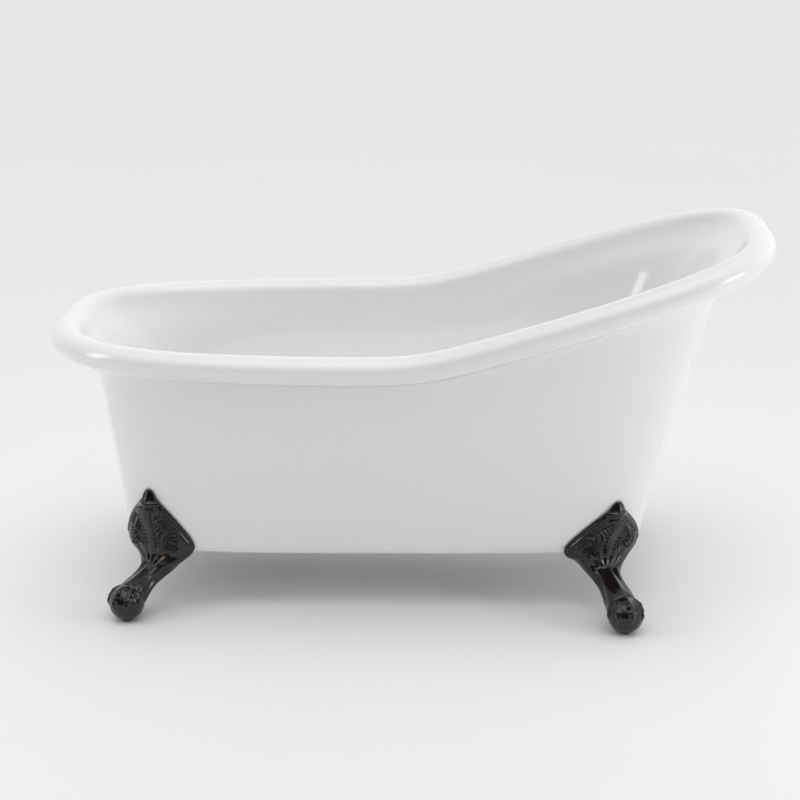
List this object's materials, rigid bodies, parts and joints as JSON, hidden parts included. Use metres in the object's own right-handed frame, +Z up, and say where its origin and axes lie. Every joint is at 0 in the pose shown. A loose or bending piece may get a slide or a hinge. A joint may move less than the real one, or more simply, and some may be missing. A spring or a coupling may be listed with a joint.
{
  "type": "freestanding slipper bathtub",
  "caption": "Freestanding slipper bath with a rolled rim rising to one end, a flat oval base and claw-and-ball feet, with pop-up waste and overflow.",
  "frame": {"origin": "on the floor, under the middle of the rim's length and width", "axes": "+X towards the raised head end, +Z up, -Y the side seen from the camera"},
  "size_m": [1.55, 0.7401, 0.8091],
  "materials": {
    "white_acrylic": "polished white, clear glossy surface",
    "white_sealant": "white sealant, slightly soft surface",
    "board_wood": "raw board, sealed",
    "bar_steel": "grey primer",
    "dark_bronze": "dark bronze lacquer, semi-gloss",
    "zinc_steel": "zinc plated",
    "black_rubber": "matte black rubber",
    "chrome_brass": "polished chrome",
    "grey_plastic": "moulded light grey",
    "black_plastic": "moulded black"
  },
  "bodies": {
    "bath": {"base_board": "board_wood", "basin_shell": "white_acrylic", "bowden_cable": "black_plastic", "crossbar_drain": "bar_steel", "crossbar_head": "bar_steel", "crossbar_nuts": "zinc_steel", "floor_batten_back": "board_wood", "floor_batten_front": "board_wood", "foot_bolts": "zinc_steel", "foot_drain_back": "dark_bronze", "foot_drain_front": "dark_bronze", "foot_head_back": "dark_bronze", "foot_head_front": "dark_bronze", "foot_washers": "zinc_steel", "outer_shell": "white_acrylic", "overflow_body": "grey_plastic", "overflow_faceplate": "chrome_brass", "overflow_gasket": "black_rubber", "overflow_pipe": "grey_plastic", "pipe_nut_lower": "black_plastic", "pipe_nut_upper": "black_plastic", "rim_seam_bead": "white_sealant", "rocker_pin": "zinc_steel", "waste_body": "grey_plastic", "waste_flange": "chrome_brass", "waste_gasket_lower": "black_rubber", "waste_gasket_upper": "black_rubber"},
    "overflow_control": {"overflow_knob": "chrome_brass"},
    "plug_unit": {"plug": "chrome_brass", "plug_seal": "black_rubber", "plug_stem": "zinc_steel"},
    "rocker": {"lift_rocker": "zinc_steel"},
    "glide_drain_front": {"glide_stud_drain_front": "zinc_steel", "glide_pad_drain_front": "black_rubber"},
    "glide_drain_back": {"glide_stud_drain_back": "zinc_steel", "glide_pad_drain_back": "black_rubber"},
    "glide_head_front": {"glide_stud_head_front": "zinc_steel", "glide_pad_head_front": "black_rubber"},
    "glide_head_back": {"glide_stud_head_back": "zinc_steel", "glide_pad_head_back": "black_rubber"}
  },
  "joints": [
    {"name": "overflow_knob_turn", "type": "hinge", "parent": "bath", "child": "overflow_control", "pos_m": [-0.60053, 0, 0.41828], "axis": [0.9132, 0, 0.4074], "range_deg": [0, 90]},
    {"name": "plug_lift", "type": "slide", "parent": "bath", "child": "plug_unit", "axis": [0, 0, 1], "range_m": [0, 0.012]},
    {"name": "rocker_turn", "type": "hinge", "parent": "bath", "child": "rocker", "pos_m": [-0.32, 0, 0.1362], "axis": [0, 1, 0], "range_deg": [0, 34]},
    {"name": "glide_drain_front_screw_out", "type": "slide", "parent": "bath", "child": "glide_drain_front", "axis": [0, 0, -1], "range_m": [0, 0.012]},
    {"name": "glide_drain_back_screw_out", "type": "slide", "parent": "bath", "child": "glide_drain_back", "axis": [0, 0, -1], "range_m": [0, 0.012]},
    {"name": "glide_head_front_screw_out", "type": "slide", "parent": "bath", "child": "glide_head_front", "axis": [0, 0, -1], "range_m": [0, 0.012]},
    {"name": "glide_head_back_screw_out", "type": "slide", "parent": "bath", "child": "glide_head_back", "axis": [0, 0, -1], "range_m": [0, 0.012]}
  ],
  "couplings": [
    {"joint": "plug_lift", "follows": "overflow_knob_turn", "m_per_rad": 0.00763},
    {"joint": "rocker_turn", "follows": "overflow_knob_turn", "ratio": 0.3775}
  ]
}
